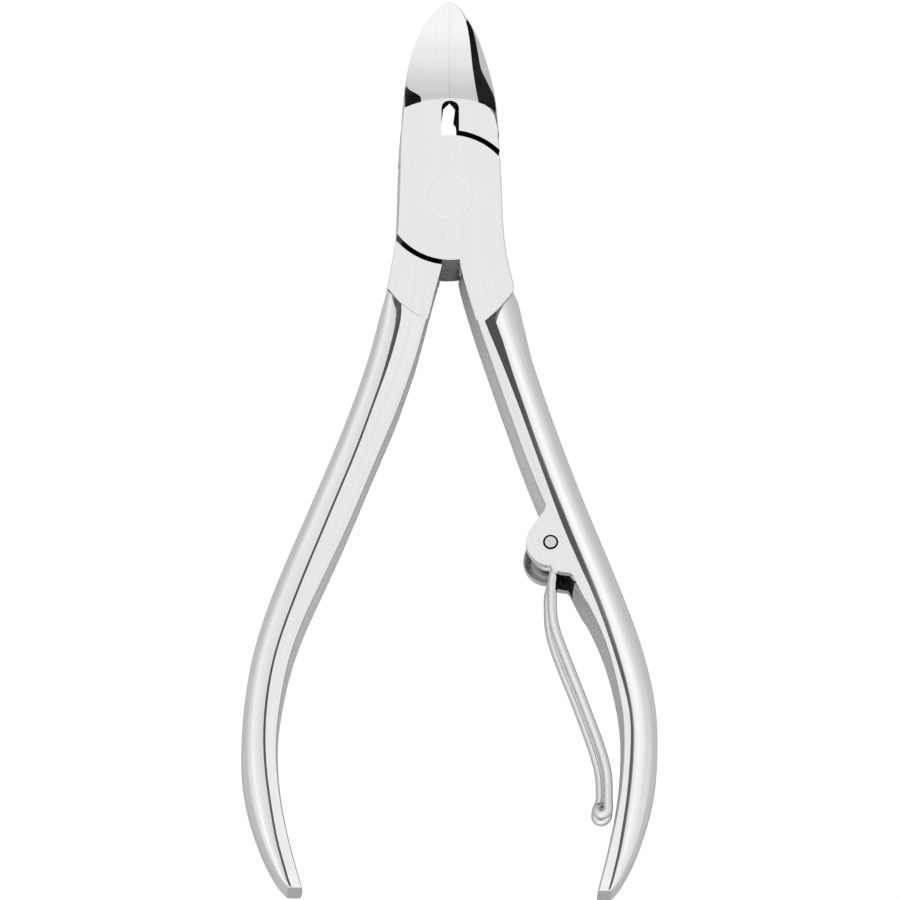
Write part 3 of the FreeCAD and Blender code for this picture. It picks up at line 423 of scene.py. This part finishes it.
    # normals: exact on the handle, as meshed elsewhere
    nl = len(me.loops)
    cn = np.zeros(nl * 3, np.float32)
    me.corner_normals.foreach_get("vector", cn)
    cn = cn.reshape(-1, 3).astype(float)
    co = np.zeros(len(me.vertices) * 3, np.float32)
    me.vertices.foreach_get("co", co)
    co = co.reshape(-1, 3)[lv] / MM
    kind_p = np.full(n, -1)
    kind_p[is_grip] = 0
    kind_p[is_wall] = 1
    kind_p[is_web] = 2
    kind_p[(y < -100.5)] = -1
    lt = np.zeros(n, np.int64)
    me.polygons.foreach_get("loop_total", lt)
    kl = np.repeat(kind_p, lt)
    pn = np.repeat(nm, lt, axis=0)
    sel = kl >= 0
    ex = section_normals(sp, co[sel, 0], co[sel, 1], co[sel, 2], kl[sel], s)
    dot = (ex * pn[sel]).sum(1)
    good = dot > 0.55
    tmp = cn[sel]
    tmp[good] = ex[good]
    cn[sel] = tmp
    me.normals_split_custom_set(cn.tolist())
    me.update()
    print(node, n, np.bincount(idx, minlength=7).tolist(), "exact", int(sel.sum()), "kept", int(good.sum()),
          "grip/wall/web", int(is_grip.sum()), int(is_wall.sum()), int(is_web.sum()))


for node in (FRONT, REAR):
    zones(node)
for node, mat in ((RIVET, RIVET_M), (PIN, PIN_M), (WIRE, WIRE_M)):
    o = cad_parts[node]
    o.data.materials.clear()
    o.data.materials.append(mat)

# ------------------------------------------------------------------- stage
bpy.ops.mesh.primitive_plane_add(size=6.0, location=(0, 0, -0.0001))
floor = bpy.context.object
floor.name = "floor"
fm, nt = new_material("floor_white")
out = N(nt, "ShaderNodeOutputMaterial")
dif = N(nt, "ShaderNodeBsdfDiffuse", {"Color": (0.66, 0.66, 0.66, 1)})
emi = N(nt, "ShaderNodeEmission", {"Color": (1, 1, 1, 1), "Strength": 1.02})
lp = N(nt, "ShaderNodeLightPath")
mix = N(nt, "ShaderNodeMixShader")
nt.links.new(lp.outputs["Is Camera Ray"], mix.inputs[0])
nt.links.new(dif.outputs["BSDF"], mix.inputs[1])
nt.links.new(emi.outputs["Emission"], mix.inputs[2])
nt.links.new(mix.outputs["Shader"], out.inputs["Surface"])
floor.data.materials.append(fm)

# soft tent: bright overhead, a little brighter to both sides, dimmer beyond the jaws
world = bpy.data.worlds.new("tent")
scene.world = world
world.use_nodes = True
wt = world.node_tree
for n in list(wt.nodes):
    wt.nodes.remove(n)
WL = wt.links.new
wo = N(wt, "ShaderNodeOutputWorld")
bg = N(wt, "ShaderNodeBackground", {"Color": (1.0, 1.0, 1.0, 1.0)})
tc = N(wt, "ShaderNodeTexCoord")
sp = N(wt, "ShaderNodeSeparateXYZ")
WL(tc.outputs["Generated"], sp.inputs[0])


def ramp_range(sock, a, b, c, d, smooth=False):
    n = N(wt, "ShaderNodeMapRange", {"From Min": a, "From Max": b, "To Min": c, "To Max": d})
    n.clamp = True
    if smooth:
        n.interpolation_type = "SMOOTHSTEP"
    WL(sock, n.inputs["Value"])
    return n.outputs["Result"]


def op(kind, a, b=None):
    n = N(wt, "ShaderNodeMath", operation=kind)
    n.inputs[2].default_value = 0.5
    for i, v in enumerate((a, b)):
        if v is None:
            continue
        if isinstance(v, (int, float)):
            n.inputs[i].default_value = v
        else:
            WL(v, n.inputs[i])
    return n.outputs["Value"]


along = ramp_range(sp.outputs["Y"], 0.0, 0.9, 1.0, 0.64)
ramp = N(wt, "ShaderNodeValToRGB")
ramp.color_ramp.interpolation = "B_SPLINE"
STOPS = [(-1.0, 0.80), (-0.8, 0.89), (-0.6, 1.00), (-0.45, 1.12), (-0.32, 1.14), (-0.16, 1.06), (0.0, 1.00), (0.15, 0.97), (0.3, 0.93),
         (0.5, 0.86), (0.75, 0.83), (1.0, 0.80)]
el = ramp.color_ramp.elements
while len(el) > 2:
    el.remove(el[-1])
for k, (px, v) in enumerate(STOPS):
    e = el[k] if k < 2 else el.new((px + 1) / 2)
    e.position = (px + 1) / 2
    e.color = (v / 2, v / 2, v / 2, 1)
WL(op("MULTIPLY_ADD", sp.outputs["X"], 0.5), ramp.inputs["Fac"])
across = op("MULTIPLY", ramp.outputs["Color"], 2.0)
low = ramp_range(sp.outputs["Z"], -0.05, 0.4, 0.88, 1.0, True)
level = op("MULTIPLY", op("MULTIPLY", along, across), low)
WL(level, bg.inputs["Strength"])
WL(bg.outputs["Background"], wo.inputs["Surface"])

# ------------------------------------------------------------------ camera
cam_data = bpy.data.cameras.new("camera")
cam = bpy.data.objects.new("camera", cam_data)
scene.collection.objects.link(cam)
scene.camera = cam
PX = 7110.0                  # picture elements per metre at the front face
tilt = math.radians(17.0)
lean = math.radians(7.35)
back = Vector((-math.sin(tilt) * math.sin(lean), -math.sin(tilt) * math.cos(lean), math.cos(tilt)))
dist = 5.0
cam_data.type = "PERSP"
cam_data.sensor_width = 36.0
cam_data.lens = 36.0 * dist / (900.0 / PX)
up = Vector((0, 1, 0))
up = (up - back * up.dot(back)).normalized()
right = up.cross(back).normalized()
pivot = Vector((0, 0, T * MM))
target = pivot + up * ((197.3 - 450.0) / PX)
cam.location = target + back * dist
cam.rotation_mode = "QUATERNION"
cam.rotation_quaternion = Matrix((right, up, back)).transposed().to_quaternion()
cam_data.clip_start = 0.01
cam_data.clip_end = 40

scene.view_settings.view_transform = "Standard"
